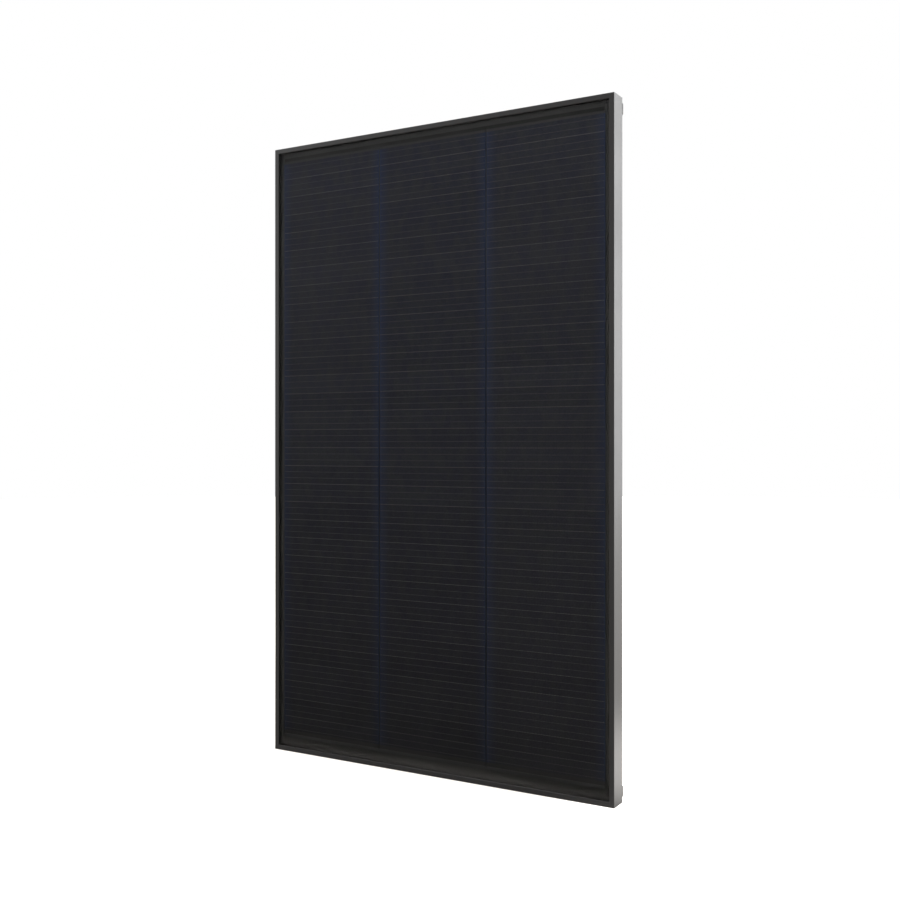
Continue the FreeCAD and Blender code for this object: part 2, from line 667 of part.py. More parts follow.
def leads():
    """The short lead of the top busbar and the long one of the bottom busbar, both into the box."""
    run_rear = f"(-{FILM_REAR} - lead_rear_gap)"
    run_front = f"({run_rear} - ribbon_thickness)"
    fold_front = f"(-{BOX_SEAT} + {TERMINAL_TOP_FACE})"
    fold_rear = f"({fold_front} + ribbon_thickness)"
    half = "ribbon_thickness / 2"
    top_face = f"(-{BAND_MIDDLE} + busbar_shift)"
    bottom_face = f"(-{BAND_MIDDLE} - busbar_shift + ribbon_thickness)"
    top_end = f"({BUSBAR_TOP} - lead_end_gap)"
    bottom_end = f"({BUSBAR_LOW} + lead_end_gap)"
    lead("lead_negative", "-lead_offset", [
        (top_face, top_end), (run_rear, top_end), (run_rear, f"{OUTLET} + {half}"),
        (fold_rear, f"{OUTLET} + {half}"), (fold_rear, f"{OUTLET} - lead_fold"),
        (fold_front, f"{OUTLET} - lead_fold"), (fold_front, f"{OUTLET} - {half}"),
        (run_front, f"{OUTLET} - {half}"), (run_front, f"{top_end} - lead_pad"),
        (top_face, f"{top_end} - lead_pad")])
    lead("lead_positive", "lead_offset", [
        (bottom_face, bottom_end), (run_rear, bottom_end), (run_rear, f"{OUTLET} - {half}"),
        (fold_front, f"{OUTLET} - {half}"), (fold_front, f"{OUTLET} - lead_fold"),
        (fold_rear, f"{OUTLET} - lead_fold"), (fold_rear, f"{OUTLET} + {half}"),
        (run_front, f"{OUTLET} + {half}"), (run_front, f"{bottom_end} + lead_pad"),
        (bottom_face, f"{bottom_end} + lead_pad")])
    strip_front = f"({run_front} - film_gap - insulation_thickness)"
    for name, side, low, high in (
            ("negative", "-", f"{OUTLET} + channel_end", f"{top_end} - lead_pad - insulation_gap"),
            ("positive", "", f"{bottom_end} + lead_pad + insulation_gap", f"{OUTLET} - channel_end")):
        new_box(f"insulation_{name}", (f"{side}lead_offset - insulation_width / 2", strip_front, low),
                ("insulation_width", "insulation_thickness", f"{high} - ({low})"))


def rating_plate():
    new_box("rating_plate", ("-plate_width / 2", f"-{BACKSHEET_REAR}", "plate_rise - plate_height / 2"),
            ("plate_width", "plate_thickness", "plate_height"))


# --- junction box -------------------------------------------------------------------------------------------

def seat_in_box(item):
    """Set a piece modelled in the box's own frame on the backsheet."""
    place(item, "0", f"-{BOX_SEAT}", "box_rise", Rotation(-X_WAY, Z_WAY, Y_WAY))


def box_adhesive():
    body = new_body("box_adhesive")
    bed = new_sketch(body, "XY_Plane")
    half_width = "(box_width / 2 - seat_margin)"
    half_height = "(box_height / 2 - seat_margin)"
    add_rectangle(bed, f"-{half_width}", half_width, f"-{half_height}", half_height)
    add_lead_windows(bed, WINDOW_RISE, "(window_width + seat_window)", "(window_height + seat_window)")
    add_pad(body, bed, "box_seat", backwards=True)
    seat_in_box(body)


def junction_box_base():
    """A tray with terminal bosses, lead windows, gland and vent holes, and the hinge lugs."""
    body = new_body("junction_box_base")
    half_width = "box_width / 2"
    half_height = "box_height / 2"
    block = new_sketch(body, "XY_Plane")
    add_rectangle(block, f"-{half_width}", half_width, f"-{half_height}", half_height)
    add_pad(body, block, RIM)
    round_edges(body, "box_corner", lambda edge: along(edge, Z_WAY))

    cavity = new_sketch(body, "XY_Plane", RIM)
    add_rectangle(cavity, f"-({half_width} - box_wall)", f"{half_width} - box_wall",
                  f"-({half_height} - box_wall)", f"{half_height} - box_wall")
    add_pocket(body, cavity, "box_depth - box_floor")
    inside = number(f"{half_width} - box_wall")
    round_edges(body, "box_corner - box_wall",
                lambda edge: along(edge, Z_WAY) and (passes(edge, x=inside) or passes(edge, x=-inside)))

    bosses = new_sketch(body, "XY_Plane", "box_floor")
    for left, right in (("terminal_inner", "terminal_outer"), ("-terminal_outer", "-terminal_inner")):
        add_rectangle(bosses, f"{left} + boss_margin", f"{right} - boss_margin",
                      "terminal_low + boss_margin", "terminal_top - boss_margin")
    add_pad(body, bosses, "terminal_level - box_floor")
    pilots = new_sketch(body, "XY_Plane", "terminal_level")
    for side in ("-", ""):
        for x, y in terminal_screw_places(side):
            add_circle(pilots, x, y, "screw_shank + screw_clearance")
    add_pocket(body, pilots, "screw_depth - screw_clearance")

    windows = new_sketch(body, "XY_Plane")
    add_lead_windows(windows, WINDOW_RISE, "window_width", "window_height")
    add_pocket(body, windows, "through_cut", symmetric=True)

    gland_holes = new_sketch(body, "XZ_Plane")
    for side in ("-", ""):
        add_circle(gland_holes, f"{side}gland_offset", "gland_rise", "gland_thread + thread_clearance")
    add_pocket(body, gland_holes, "box_height", backwards=True)
    vent_hole = new_sketch(body, "YZ_Plane")
    add_circle(vent_hole, "-vent_drop", "gland_rise", "vent_stem + thread_clearance")
    add_pocket(body, vent_hole, "box_width", backwards=True)

    foot = f"({RIM} - lug_drop)"
    arm = new_sketch(body, "YZ_Plane", "lug_start")
    add_outline(arm, [(f"{half_height} - lid_root", foot), (half_height, foot),
                      (f"{PIVOT_Y} + arm_reach", f"{PIVOT_Z} - arm_fall"),
                      (f"{PIVOT_Y} - arm_setback", f"{PIVOT_Z} - arm_dip"),
                      (half_height, RIM), (f"{half_height} - lid_root", RIM)])
    arm_pad = add_pad(body, arm, "lug_width")
    barrel = new_sketch(body, "YZ_Plane", "lug_start")
    add_circle(barrel, PIVOT_Y, PIVOT_Z, "barrel_radius")
    barrel_pad = add_pad(body, barrel, "lug_width")
    mirror(body, [arm_pad, barrel_pad], "YZ_Plane")
    bore = new_sketch(body, "YZ_Plane")
    add_circle(bore, PIVOT_Y, PIVOT_Z, "pin_radius + press_clearance")
    add_pocket(body, bore, "through_cut", symmetric=True)
    seat_in_box(body)


def junction_box_lid():
    """A plate with a locating rib, two knuckles on the hinge side and a closing tongue."""
    body = new_body("junction_box_lid")
    half_width = "box_width / 2"
    half_height = "box_height / 2"
    plate = new_sketch(body, "XY_Plane", LID_UNDER)
    add_rectangle(plate, f"-{half_width}", half_width, f"-{half_height}", half_height)
    add_pad(body, plate, "lid_thickness")
    round_edges(body, "box_corner", lambda edge: along(edge, Z_WAY))
    top = number(f"{LID_UNDER} + lid_thickness")
    bevel_edges(body, "lid_bevel", lambda edge: passes(edge, z=top))

    rib_x = f"({half_width} - box_wall - rib_clearance)"
    rib_y = f"({half_height} - box_wall - rib_clearance)"
    rib = new_sketch(body, "XY_Plane", LID_UNDER)
    add_rectangle(rib, f"-{rib_x}", rib_x, f"-({rib_y} - rib_setback)", rib_y)
    add_rectangle(rib, f"-({rib_x} - rib_thickness)", f"{rib_x} - rib_thickness",
                  f"-({rib_y} - rib_setback - rib_thickness)", f"{rib_y} - rib_thickness")
    add_pad(body, rib, "rib_depth", backwards=True)
    lid_under = number(LID_UNDER)
    rib_side = number(rib_x)
    round_edges(body, "box_corner - box_wall",
                lambda edge: along(edge, Z_WAY) and edge.CenterOfMass.z < lid_under
                and (passes(edge, x=rib_side) or passes(edge, x=-rib_side)))

    hinge_arm = new_sketch(body, "YZ_Plane", "knuckle_start")
    add_rectangle(hinge_arm, f"{half_height} - lid_root", PIVOT_Y,
                  LID_UNDER, f"{LID_UNDER} + lid_thickness - lid_step")
    arm_pad = add_pad(body, hinge_arm, "knuckle_width")
    barrel = new_sketch(body, "YZ_Plane", "knuckle_start")
    add_circle(barrel, PIVOT_Y, PIVOT_Z, "barrel_radius")
    barrel_pad = add_pad(body, barrel, "knuckle_width")
    mirror(body, [arm_pad, barrel_pad], "YZ_Plane")
    bore = new_sketch(body, "YZ_Plane")
    add_circle(bore, PIVOT_Y, PIVOT_Z, "pin_radius + running_clearance")
    add_pocket(body, bore, "through_cut", symmetric=True)

    inner = f"-({half_height} + tongue_clearance)"
    outer = f"-({half_height} + tongue_clearance + tongue_thickness)"
    tongue = new_sketch(body, "YZ_Plane")
    add_outline(tongue, [(f"-{half_height} + tongue_root", LID_UNDER), (inner, LID_UNDER),
                         (inner, f"{LID_UNDER} - tongue_reach"), (outer, f"{LID_UNDER} - tongue_reach"),
                         (outer, f"{LID_UNDER} + lid_thickness - lid_step"),
                         (f"-{half_height} + tongue_root", f"{LID_UNDER} + lid_thickness - lid_step")])
    add_pad(body, tongue, "tongue_width", symmetric=True)
    seat_in_box(body)


def lid_gasket():
    """A flat ring on the middle of the base's rim."""
    body = new_body("lid_gasket")
    ring = new_sketch(body, "XY_Plane", RIM)
    for side in ("+", "-"):
        x = f"(box_width / 2 - box_wall / 2 {side} gasket_width / 2)"
        y = f"(box_height / 2 - box_wall / 2 {side} gasket_width / 2)"
        add_rectangle(ring, f"-{x}", x, f"-{y}", y)
    add_pad(body, ring, "gasket_height")
    outside = number("box_width / 2 - box_wall / 2 + gasket_width / 2")
    inside = number("box_width / 2 - box_wall / 2 - gasket_width / 2")
    round_edges(body, "box_corner - box_wall / 2 + gasket_width / 2", lambda edge: along(edge, Z_WAY)
                and (passes(edge, x=outside) or passes(edge, x=-outside)))
    round_edges(body, "box_corner - box_wall / 2 - gasket_width / 2", lambda edge: along(edge, Z_WAY)
                and (passes(edge, x=inside) or passes(edge, x=-inside)))
    seat_in_box(body)


def lid_hinge_pin():
    pin = doc.addObject("Part::Cylinder", "lid_hinge_pin")
    pin.Label = "lid_hinge_pin"
    bind(pin, "Radius", "pin_radius")
    bind(pin, "Height", "pin_length")
    place(pin, "-pin_length / 2", f"-{BOX_SEAT} + {PIVOT_Z}", f"box_rise + {PIVOT_Y}", Rotation(Y_WAY, 90))
    parts.append(pin)


def terminal_screw_places(side):
    """The two screws of one terminal, as x and y in the box: one for the lead and one for the crimp."""
    yield f"{side}lead_offset", "(terminal_top - lead_fold / 2 - screw_head - lead_screw_gap)"
    yield (f"{side}(terminal_outer - boss_margin - crimp_screw_inset)",
           "(terminal_low + boss_margin + crimp_screw_inset)")


def terminal(name, side):
    """A tinned plate with its screw holes and a crimp barrel that faces the gland."""
    body = new_body(f"terminal_{name}")
    inner = f"{side}terminal_inner"
    outer = f"{side}terminal_outer"
    plate = new_sketch(body, "XY_Plane", "terminal_level")
    add_rectangle(plate, inner, outer, "terminal_low", "terminal_top")
    add_pad(body, plate, "terminal_thickness")
    round_edges(body, "terminal_corner", lambda edge: along(edge, Z_WAY))
    holes = new_sketch(body, "XY_Plane", "terminal_level")
    for x, y in terminal_screw_places(side):
        add_circle(holes, x, y, "screw_shank + screw_clearance")
    add_pocket(body, holes, "through_cut", symmetric=True)
    barrel = new_sketch(body, "XZ_Plane", "-terminal_low - crimp_lap")
    centre = (f"{side}gland_offset", "(terminal_level + crimp_radius)")
    add_circle(barrel, *centre, "crimp_radius")
    add_circle(barrel, *centre, "crimp_bore")
    add_pad(body, barrel, "crimp_length + crimp_lap")
    seat_in_box(body)


def terminal_screws():
    """Four slotted cheese-head screws."""
    body = new_body("terminal_screws")
    body.AllowCompound = True
    tip = "(terminal_level - screw_depth + screw_tip_gap)"
    heads = new_sketch(body, "XY_Plane", TERMINAL_TOP_FACE)
    shanks = new_sketch(body, "XY_Plane", tip)
    cuts = new_sketch(body, "XY_Plane", f"{TERMINAL_TOP_FACE} + screw_head_height")
    for side in ("-", ""):
        for x, y in terminal_screw_places(side):
            add_circle(heads, x, y, "screw_head")
            add_circle(shanks, x, y, "screw_shank")
            add_rectangle(cuts, f"{x} - slot_cut / 2", f"{x} + slot_cut / 2",
                          f"{y} - 2 * screw_head", f"{y} + 2 * screw_head")
    add_pad(body, heads, "screw_head_height")
    add_pad(body, shanks, f"{TERMINAL_TOP_FACE} - {tip}")
    add_pocket(body, cuts, "screw_head_height / 2")
    seat_in_box(body)


def bypass_diode():
    """An axial diode across the two terminals, with its wires on their faces."""
    body = new_body("bypass_diode")
    across = new_sketch(body, "XY_Plane")
    add_outline(across, [("0", "-diode_span / 2"), ("diode_wire", "-diode_span / 2"),
                         ("diode_wire", "-diode_length / 2"), ("diode_radius", "-diode_length / 2"),
                         ("diode_radius", "diode_length / 2"), ("diode_wire", "diode_length / 2"),
                         ("diode_wire", "diode_span / 2"), ("0", "diode_span / 2")])
    add_revolution(body, across)
    place(body, "0", f"-{BOX_SEAT} + {TERMINAL_TOP_FACE} + diode_wire", "box_rise + diode_rise",
          Rotation(Z_WAY, 90))


def breather_vent():
    """A capped stem through the side wall, which lets the box breathe."""
    body = new_body("breather_vent")
    profile = new_sketch(body, "XZ_Plane")
    stem_end = "-(box_wall + vent_reach)"
    add_outline(profile, [("0", stem_end), ("vent_stem", stem_end), ("vent_stem", "0"),
                          ("vent_radius", "0"), ("vent_radius", "vent_skirt"),
                          ("vent_radius - vent_bevel", "vent_cap"), ("0", "vent_cap")])
    add_revolution(body, profile)
    place(body, "-box_width / 2", f"-{BOX_SEAT} + gland_rise", "box_rise - vent_drop", Rotation(Y_WAY, -90))


def gland(name, side):
    """The outlet of one cable: body, locknut, seal and clamping nut, along one axis that points down."""
    def seat(body):
        place(body, f"{side}gland_offset", f"-{BOX_SEAT} + gland_rise", "box_rise - box_height / 2",
              Rotation(X_WAY, 180))

    thread_end = "(gland_flange + gland_reach)"
    body = new_body(f"gland_body_{name}")
    profile = new_sketch(body, "XZ_Plane")
    add_outline(profile, [("gland_bore", "-gland_tail"), ("gland_thread", "-gland_tail"),
                          ("gland_thread", thread_end), ("seal_radius + seal_clearance", thread_end),
                          ("seal_radius + seal_clearance", f"{thread_end} - seal_seat"),
                          ("gland_bore", f"{thread_end} - seal_seat")])
    add_revolution(body, profile)
    collar = new_sketch(body, "XY_Plane")
    add_hexagon(collar, "gland_flats")
    add_circle(collar, "0", "0", "gland_thread - collar_bite")
    add_pad(body, collar, "gland_flange")
    seat(body)

    locknut = new_body(f"gland_locknut_{name}")
    hexagon = new_sketch(locknut, "XY_Plane", "-box_wall")
    add_hexagon(hexagon, "gland_flats")
    add_circle(hexagon, "0", "0", "gland_thread + thread_clearance")
    add_pad(locknut, hexagon, "locknut_length", backwards=True)
    seat(locknut)

    seal = new_body(f"gland_seal_{name}")
    ring = new_sketch(seal, "XY_Plane", f"{thread_end} - seal_seat")
    add_circle(ring, "0", "0", "seal_radius")
    add_circle(ring, "0", "0", "gland_bore")
    add_pad(seal, ring, "seal_length")
    seat(seal)

    nut = new_body(f"gland_nut_{name}")
    start = "(gland_flange + nut_gap)"
    hexagon = new_sketch(nut, "XY_Plane", start)
    add_hexagon(hexagon, "nut_flats")
    add_pad(nut, hexagon, "nut_length")
    end = number(f"{start} + nut_length")
    bevel_edges(nut, "nut_taper", lambda edge: passes(edge, z=end))
    socket = new_sketch(nut, "XY_Plane", start)
    add_circle(socket, "0", "0", "gland_thread + thread_clearance")
    add_pocket(nut, socket, "nut_length - nut_cap", backwards=True)
    bore = new_sketch(nut, "XY_Plane", start)
    add_circle(bore, "0", "0", "gland_bore")
    add_pocket(nut, bore, "through_cut", symmetric=True)
    seat(nut)


# --- the whole panel ----------------------------------------------------------------------------------------

def build():
    for name, (x, z, length, flange, rotation) in MEMBERS.items():
        frame_member(name, x, z, length, flange, rotation)
        groove_sealant(name, x, z, length, rotation)
    for name, x, z, turn in (("bottom_left", "-", "-", 0), ("top_left", "-", "", 90),
                             ("top_right", "", "", 180), ("bottom_right", "", "-", 270)):
        corner_key(name, f"{x}panel_width / 2", f"{z}panel_height / 2", turn)
        corner_pad(name, f"{x}1", f"{z}1")

    front_glass()
    laminate_sheet("encapsulant_front", BAND_FRONT, "front_film")
    encapsulant_rear()
    backsheet()
    for name, column in (("left", "-string_pitch"), ("centre", "0"), ("right", "string_pitch")):
        cell_string(name, column)
    busbars()
    leads()
    rating_plate()

    box_adhesive()
    junction_box_base()
    junction_box_lid()
    lid_gasket()
    lid_hinge_pin()
    terminal("negative", "")
    terminal("positive", "-")
    terminal_screws()
    bypass_diode()
    breather_vent()
    gland("negative", "-")
    gland("positive", "")


def export():
    """Check every object and write each sub-part to its own STEP file."""
    doc.recompute()
    for item in doc.Objects:
        if "Invalid" in item.State or "Error" in item.State:
            raise RuntimeError(f"{item.Name} of {item.Label} failed: {item.State}")
    os.makedirs("parts", exist_ok=True)
    for part in parts:
        if part.Shape.isNull() or not part.Shape.isValid():
            raise RuntimeError(f"{part.Label} has no valid shape")
        part.Shape.exportStep(f"parts/{part.Label}.step")
        print(f"{part.Label:26s} {len(part.Shape.Solids):3d} solids {part.Shape.Volume:12.2f} mm3")


build()
export()
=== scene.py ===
"""An all-black solar panel: its finishes, the fine pieces on its surfaces, and a studio for it.

x runs across the panel, y to its back and z up. The pieces' sizes are in millimetres, the stage's in metres.
"""

import json
import math

import bmesh
import bpy
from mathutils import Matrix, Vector


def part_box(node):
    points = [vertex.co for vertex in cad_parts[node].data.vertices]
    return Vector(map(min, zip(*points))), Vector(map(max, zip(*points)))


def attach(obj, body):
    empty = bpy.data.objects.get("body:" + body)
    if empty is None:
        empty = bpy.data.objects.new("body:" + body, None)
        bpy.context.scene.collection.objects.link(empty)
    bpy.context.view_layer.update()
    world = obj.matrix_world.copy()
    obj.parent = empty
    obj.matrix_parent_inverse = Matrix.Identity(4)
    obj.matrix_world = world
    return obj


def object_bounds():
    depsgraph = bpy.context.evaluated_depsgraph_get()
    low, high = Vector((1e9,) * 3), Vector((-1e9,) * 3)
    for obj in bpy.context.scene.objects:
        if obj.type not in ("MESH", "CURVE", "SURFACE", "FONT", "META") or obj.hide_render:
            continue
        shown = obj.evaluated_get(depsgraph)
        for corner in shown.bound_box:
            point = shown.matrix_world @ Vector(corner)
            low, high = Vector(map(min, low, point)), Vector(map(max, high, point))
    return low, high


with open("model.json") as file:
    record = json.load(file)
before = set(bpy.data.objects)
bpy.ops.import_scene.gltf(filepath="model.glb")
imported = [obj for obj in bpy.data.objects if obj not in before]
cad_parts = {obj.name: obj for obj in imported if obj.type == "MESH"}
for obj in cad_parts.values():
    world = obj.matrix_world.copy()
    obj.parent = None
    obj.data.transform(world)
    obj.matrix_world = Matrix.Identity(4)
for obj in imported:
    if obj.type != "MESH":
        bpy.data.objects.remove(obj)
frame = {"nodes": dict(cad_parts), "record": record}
CAD_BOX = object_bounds()
MM = 0.001


# --- sizes ------------------------------------------------------------------------------------------------

# The shingled strips, and the silver lines printed on them.
STRIP_COUNT = 32
STRIP_PITCH = 28.54
STRIP_LENGTH = 30.34
STRIP_THICKNESS = 0.18
STRIP_STEP = 0.23
STRIP_TILT = STRIP_STEP / STRIP_PITCH
LINES_ON_STRIP = 3
LINE_INSET = 1.0
LINE_OVERRUN = 0.5
DASH_LENGTH = 3.5
DASH_PITCH = 4.2
FINE_LINE = 0.66
EDGE_LINE = 0.76
EDGE_LINE_RISE = 0.15
PRINT_THICKNESS = 0.006

# The junction box: how far it stands out past its adhesive, and its bead as outward and backward offsets.
BOX_OVERHANG = 5
BOX_CORNER = 5
BEAD_SECTION = ((-0.8, 0.02), (1.9, 0.02), (1.75, 0.35), (1.25, 0.95), (0.7, 1.5), (0.3, 2.1), (-0.2, 2.3),
                (-0.8, 0.98))

# The lid: its plate, the raised border round it, and a row of short ribs on each side.
LID_THICKNESS = 2.8
BORDER_INSET = 7
BORDER_CORNER = 3.5
BORDER_SECTION = ((-0.8, -0.1), (0.8, -0.1), (0.8, 0.35), (0.55, 0.55), (-0.55, 0.55), (-0.8, 0.35))
LID_RIB_OFFSET = 34
LID_RIB_PITCH = 6
LID_RIB_COUNT = 5
LID_RIB_LENGTH = 14
LID_RIB_WIDTH = 1.2
LID_RIB_ROOT = 0.1
LID_RIB_RISE = 0.4

# The ribs on the box's two long walls, by side. The vent has the place of the left wall's lowest rib.
WALL_RIBS = {-1: (-8, 8, 24), 1: (-24, -8, 8, 24)}
WALL_RIB_WIDTH = 1.4
WALL_RIB_ROOT = 0.3
WALL_RIB_RISE = 0.9
WALL_RIB_FOOT_GAP = 1.85
WALL_RIB_HEAD_GAP = 1.15

# The raised grips on each flat of a gland nut. The first flat's direction is in degrees from x.
FLAT_COUNT = 6
FIRST_FLAT = 30
GRIP_OFFSETS = (-2.2, -1.1, 0, 1.1, 2.2)
GRIP_HALF_FOOT = 0.32
GRIP_HALF_HEAD = 0.16
GRIP_ROOT = 0.2
GRIP_RISE = 0.34
GRIP_LOWER_GAP = 2.6
GRIP_UPPER_GAP = 0.6

# The blank rating plate's printed border, its ruled rows and its one column line.
PLATE_MARGIN = 3
PLATE_BORDER = 0.5
PLATE_RULE = 0.25
RULE_LEVELS = (-14, -7, 0, 7, 14)
COLUMN_OFFSET = 4
INK_ROOT = 0.01
INK_RISE = 0.015


# --- looks ------------------------------------------------------------------------------------------------

# The parts of its range that a pattern uses, the two ways in which a share runs, and no stretch at all.
MOST = (0.3, 0.7)
UPPER = (0.35, 0.7)
WHOLE = (0, 1)
RISING = (0.0, 1.0)
FALLING = (1, 0)
EVEN = (1, 1, 1)

# Where a Mix node has its share and its two colours among its inputs, and its colour among its outputs.
MIX_INPUTS = (0, 6, 7)
MIX_OUTPUT = 2

# The refractive index of a face that is sealed in the clear film, against the film's own.
SEALED = 1.05

# The coated glass's sheen, as a share of plain glass's, and how far its rolled surface blurs it; then the
# glancing angles over which it turns from clear to a mirror, as shares, and how much it mirrors at each.
GLASS_SHEEN = 0.05
GLASS_BLUR = 0.26
GLASS_GLANCING = (0.5, 0.97)
GLASS_MIRRORING = (0.0, 0.42)

# The cells' colour at the foot and top of a string; the rise from foot to top is painted light, a painted
# reflection of the brighter space above. The right-hand strips are painted paler, a painted highlight from
# the lower right.
CELL_FOOT = (0.0104, 0.0099, 0.0119)
CELL_TOP = (0.0190, 0.0193, 0.0274)
RIGHT_HIGHLIT_FOOT = (0.0124, 0.0118, 0.0140)
RIGHT_HIGHLIT_TOP = (0.0203, 0.0205, 0.0282)

# How much redder, greener and bluer the anti-reflection coat makes a strip's ends, and their very rims,
# and how far each reaches in, as shares of the strip's width.
EDGE_GLOW = (1.03, 1.26, 1.74)
EDGE_REACH = (-0.050, 0.110)
RIM_GLOW = (1.12, 1.50, 2.15)
RIM_REACH = (0.004, 0.014)

# The grey mask at the two ends of a string, darker at the foot as painted shade, and where it fades, as
# shares of the string's height.
MASK_FOOT = (0.0150, 0.0142, 0.0143)
MASK_TOP = (0.0330, 0.0322, 0.0333)
MASK_BELOW = (0.0065, 0.0085)
MASK_ABOVE = (0.9935, 0.9950)

# The backsheet's inner face between the strings, down its sides and along its two ends, with the shares of
# its width and height over which each fades: painted darker towards the foot as painted shade, and painted
# paler at its sides and ends as painted light against the frame lip's shade and a painted reflection in the
# glass;
# then its rear face, clean and dusty.
GAP_FOOT = (0.0155, 0.0154, 0.0151)
GAP_TOP = (0.0310, 0.0330, 0.0345)
SIDE_FOOT = (0.032, 0.0305, 0.0295)
SIDE_TOP = (0.042, 0.041, 0.0425)
SIDE_FADE = (0.014, 0.025)
HEAD_PAINTED_LIGHT = (0.041, 0.040, 0.0415)
HEAD_FADE = (0.976, 0.986)
SILL_PAINTED_LIGHT = (0.052, 0.0480, 0.0475)
SILL_FADE = (0.0055, 0.0245)
REAR_CLEAN = (0.010, 0.010, 0.011)
REAR_DUSTY = (0.016, 0.016, 0.018)


def shade(tone, factor, added=0.0):
    return tuple(channel * factor + added for channel in tone)


def tint(tone, factors):
    return tuple(channel * factor for channel, factor in zip(tone, factors))


class Shader:
    """The node tree of one material, built from the surface inwards."""

    def __init__(self, name):
        self.material = bpy.data.materials.new(name)
        self.material.use_nodes = True
        self.tree = self.material.node_tree
        self.tree.nodes.clear()
        self.output = self.tree.nodes.new("ShaderNodeOutputMaterial")

    def node(self, kind, inputs=None, **settings):
        made = self.tree.nodes.new("ShaderNode" + kind)
        for key, value in settings.items():
            setattr(made, key, value)
        for key, value in (inputs or {}).items():
            self.feed(made.inputs[key], value)
        return made

    def feed(self, socket, value):
        if isinstance(value, bpy.types.NodeSocket):
            self.tree.links.new(value, socket)
        elif isinstance(value, tuple) and socket.type == "RGBA":
            socket.default_value = (*value, 1)
        else:
            socket.default_value = value

    def place(self, scale=EVEN):
        """Where a point lies in the panel's own frame, with a scale for each axis."""
        coords = self.node("TexCoord").outputs["Object"]
        return self.node("Mapping", {"Vector": coords, "Scale": scale}).outputs["Vector"]

    def shares(self):
        """How far a point lies across and up the part's own box, each from 0 to 1."""
        coords = self.node("TexCoord").outputs["Generated"]
        place = self.node("SeparateXYZ", {"Vector": coords}).outputs
        return place["X"], place["Z"]

    def inset(self, across):
        """How far a point lies in from the nearer side, as a share of the width."""
        return self.math("MINIMUM", across, self.math("SUBTRACT", 1.0, across))

    def noise(self, scale, detail=4, rough=0.5, stretch=EVEN):
        return self.node("TexNoise", {"Vector": self.place(stretch), "Scale": scale, "Detail": detail,
                                      "Roughness": rough}).outputs["Fac"]

    def bands(self, scale, direction):
        wave = self.node("TexWave", {"Vector": self.place(), "Scale": scale}, bands_direction=direction)
        return wave.outputs["Fac"]

    def math(self, operation, first, second=0.0):
        made = self.node("Math", operation=operation)
        self.feed(made.inputs[0], first)
        self.feed(made.inputs[1], second)
        return made.outputs[0]

    def spread(self, value, span, result=RISING):
        """The value mapped from one range to another, smoothly and without overshoot."""
        limits = {"From Min": span[0], "From Max": span[1], "To Min": result[0], "To Max": result[1]}
        mapped = self.node("MapRange", {"Value": value, **limits}, interpolation_type="SMOOTHSTEP")
        return mapped.outputs["Result"]

    def patches(self, scale, span=MOST, result=RISING, **settings):
        """Cloudy patches of noise that run from one value to another."""
        return self.spread(self.noise(scale, **settings), span, result)

    def blend(self, share, first, second):
        made = self.node("Mix", data_type="RGBA")
        for index, value in zip(MIX_INPUTS, (share, first, second)):
            self.feed(made.inputs[index], value)
        return made.outputs[MIX_OUTPUT]

    def layer(self, share, first, second):
        mixed = self.node("MixShader")
        for index, value in enumerate((share, first, second)):
            self.feed(mixed.inputs[index], value)
        return mixed.outputs[0]

    def bump(self, height, strength, distance):
        """The surface's direction over small relief; the distance is in metres."""
        made = self.node("Bump", {"Height": height, "Strength": strength, "Distance": distance})
        return made.outputs["Normal"]

    def finish(self, **inputs):
        """A principled surface; underscores in the names stand for spaces."""
        named = {key.replace("_", " "): value for key, value in inputs.items()}
        return self.close(self.node("BsdfPrincipled", named).outputs["BSDF"])

    def sealed(self, **inputs):
        """A surface in the laminate: hardly any gloss of its own, and the coated glass's soft sheen."""
        return self.finish(IOR=SEALED, Coat_Weight=GLASS_SHEEN, Coat_Roughness=GLASS_BLUR, Coat_IOR=1.5,
                           **inputs)

    def close(self, surface):
        self.tree.links.new(surface, self.output.inputs["Surface"])
        return self.material


def black_anodised():
    """Drawn aluminium under a satin black coat, with the die's fine lines along each member."""
    s = Shader("black_anodised")
    upright = s.noise(900, detail=3, rough=0.6, stretch=(1, 1, 0.02))
    level = s.noise(900, detail=3, rough=0.6, stretch=(0.02, 1, 1))
    lines = s.math("MULTIPLY", s.math("ADD", upright, level), 0.5)
    scuffs = s.patches(60, span=(0.66, 0.78), result=(0, 0.5), detail=6, rough=0.75, stretch=(1, 1, 0.25))
    return s.finish(Base_Color=s.blend(scuffs, (0.0110, 0.0103, 0.0104), (0.025, 0.024, 0.024)),
                    Roughness=s.patches(9, span=(0.3, 0.75), result=(0.34, 0.39), detail=5, rough=0.6),
                    Metallic=0.0, IOR=1.42, Normal=s.bump(lines, strength=0.12, distance=0.0002))


def mill_aluminium():
    """Bare aluminium, brushed from front to back."""
    s = Shader("mill_aluminium")
    brushed = s.noise(700, rough=0.6, stretch=(1, 0.05, 1))
    return s.finish(Base_Color=(0.60, 0.61, 0.62), Metallic=1.0,
                    Roughness=s.spread(brushed, MOST, (0.28, 0.5)),
                    Normal=s.bump(brushed, strength=0.2, distance=0.0002))


def rubber(name, base, roughness):
    """Matt rubber or silicone with a little pale dust in its grain."""
    s = Shader(name)
    dust = s.patches(35, span=(0.5, 0.75), result=(0, 0.35), detail=6, rough=0.7)
    grain = s.noise(2600, detail=3, rough=0.6)
    return s.finish(Base_Color=s.blend(dust, base, shade(base, 2.4, 0.01)),
                    Roughness=s.patches(60, result=(roughness - 0.08, roughness + 0.1)),
                    Normal=s.bump(grain, strength=0.25, distance=0.0002))


